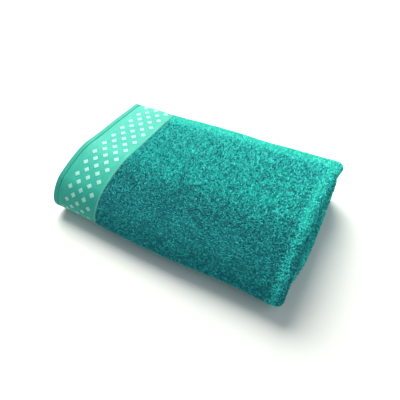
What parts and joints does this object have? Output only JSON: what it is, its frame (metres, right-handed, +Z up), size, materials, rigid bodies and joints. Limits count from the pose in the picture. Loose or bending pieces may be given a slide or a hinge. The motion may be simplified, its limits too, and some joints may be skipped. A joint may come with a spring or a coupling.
{
  "type": "folded bath towel",
  "caption": "Terry bath towel folded into a rectangular stack of thirds, with a flat woven border of pale diamonds across one end and a top third that unfolds.",
  "frame": {"origin": "centre of the folded towel's bounding box, at the surface it lies on", "axes": "+X along the folded towel from the border end to the folded end, +Y from the near bend, where the top third is hinged, to the far side, +Z up"},
  "size_m": [0.357, 0.23, 0.072],
  "materials": {
    "terry": "heathered two-tone teal looped cotton pile, matt",
    "border": "flat woven cotton band with pale raised diamonds, slight sheen",
    "hem": "turned and stitched flat woven hem",
    "label": "blank white satin-woven tape"
  },
  "bodies": {
    "stack": {"base_border_1": "border", "base_border_4": "border", "base_centre_fold": "terry", "base_end_hem_1": "hem", "base_end_hem_4": "hem", "base_inner_fold": "terry", "base_outer_fold": "terry", "base_quarter_1": "terry", "base_quarter_2": "terry", "base_quarter_3": "terry", "base_quarter_4": "terry", "base_side_hem_1": "hem", "base_side_hem_2": "hem", "base_side_hem_3": "hem", "base_side_hem_4": "hem", "bend_border_1": "border", "bend_border_4": "border", "bend_centre_fold": "terry", "bend_end_hem_1": "hem", "bend_end_hem_4": "hem", "bend_inner_fold": "terry", "bend_outer_fold": "terry", "bend_quarter_1": "terry", "bend_quarter_2": "terry", "bend_quarter_3": "terry", "bend_quarter_4": "terry"},
    "top_flap": {"care_label": "label", "top_border_1": "border", "top_border_4": "border", "top_centre_fold": "terry", "top_end_hem_1": "hem", "top_end_hem_4": "hem", "top_inner_fold": "terry", "top_outer_fold": "terry", "top_quarter_1": "terry", "top_quarter_2": "terry", "top_quarter_3": "terry", "top_quarter_4": "terry", "top_side_hem_1": "hem", "top_side_hem_2": "hem", "top_side_hem_3": "hem", "top_side_hem_4": "hem"}
  },
  "joints": [
    {"name": "top_flap_fold", "type": "hinge", "parent": "stack", "child": "top_flap", "pos_m": [0, -0.115, 0.036], "axis": [1, 0, 0], "range_deg": [0, 180], "deforming": ["bend_border_1", "bend_border_4", "bend_centre_fold", "bend_end_hem_1", "bend_end_hem_4", "bend_inner_fold", "bend_outer_fold", "bend_quarter_1", "bend_quarter_2", "bend_quarter_3", "bend_quarter_4"]}
  ]
}
